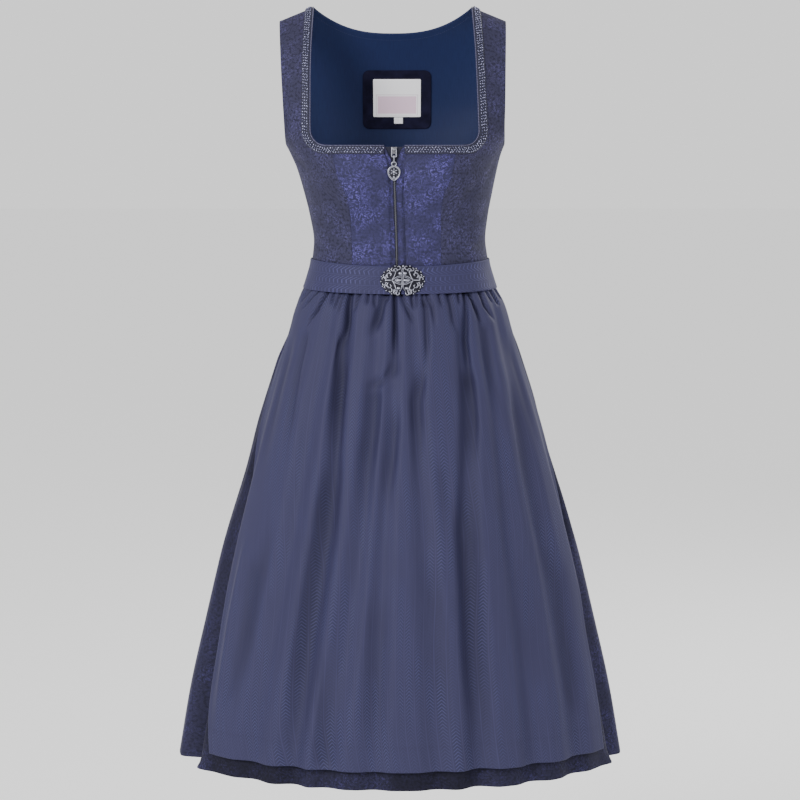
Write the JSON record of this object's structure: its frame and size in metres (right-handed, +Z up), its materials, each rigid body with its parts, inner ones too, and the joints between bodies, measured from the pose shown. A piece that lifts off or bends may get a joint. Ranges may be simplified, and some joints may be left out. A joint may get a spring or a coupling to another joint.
{
  "type": "dirndl dress with apron",
  "caption": "Knee-length sleeveless dirndl dress, filled out as worn and hollow: fitted zip-front bodice on broad straps, gathered skirt, and a gathered apron on a band with a metal clasp.",
  "frame": {"origin": "midway between the two shoulders at the level of the strap tops, where the wearer's shoulders carry it", "axes": "+Z up, -Y towards the wearer's front, +X towards the wearer's left"},
  "size_m": [0.622, 0.4716, 1.0376],
  "materials": {
    "brocade": "woven brocade, satin figure on a matt ground",
    "side_brocade": "woven brocade, greyer than the centre front",
    "skirt_brocade": "dark woven flower brocade",
    "apron_weave": "slate blue herringbone weave with a soft sheen",
    "lining": "navy satin lining",
    "velvet": "dark velvet patch",
    "label_satin": "woven satin label, bare",
    "braid": "braid with two rows of small grey beads",
    "zip_tape": "woven zip tape",
    "zip_metal": "dark nickel zip teeth and slider",
    "old_silver": "antique silver, dark in its hollows"
  },
  "bodies": {
    "dress": {"front_centre_left": "brocade", "front_centre_right": "brocade", "front_side_left": "side_brocade", "front_side_right": "side_brocade", "bodice_back": "side_brocade", "back_lining": "lining", "label_patch": "velvet", "label": "label_satin", "size_tag": "label_satin", "neck_braid_left": "braid", "neck_braid_right": "braid", "zip_tape_left": "zip_tape", "zip_tape_right": "zip_tape", "zip_chain": "zip_metal", "zip_slider": "zip_metal", "clasp_left": "old_silver", "clasp_right": "old_silver", "apron": "apron_weave", "apron_band": "apron_weave", "skirt_front": "skirt_brocade", "skirt_back": "skirt_brocade"},
    "pull": {"zip_pull": "old_silver"},
    "pendant": {"zip_link": "old_silver", "zip_pendant": "old_silver"}
  },
  "joints": [
    {"name": "pull_swing", "type": "hinge", "parent": "dress", "child": "pull", "pos_m": [0.00196, -0.1202, -0.1932], "axis": [-1, 0, 0], "range_deg": [0, 150]},
    {"name": "pendant_swing", "type": "hinge", "parent": "pull", "child": "pendant", "pos_m": [0.00196, -0.1202, -0.2031], "axis": [-1, 0, 0], "range_deg": [0, 90]}
  ]
}
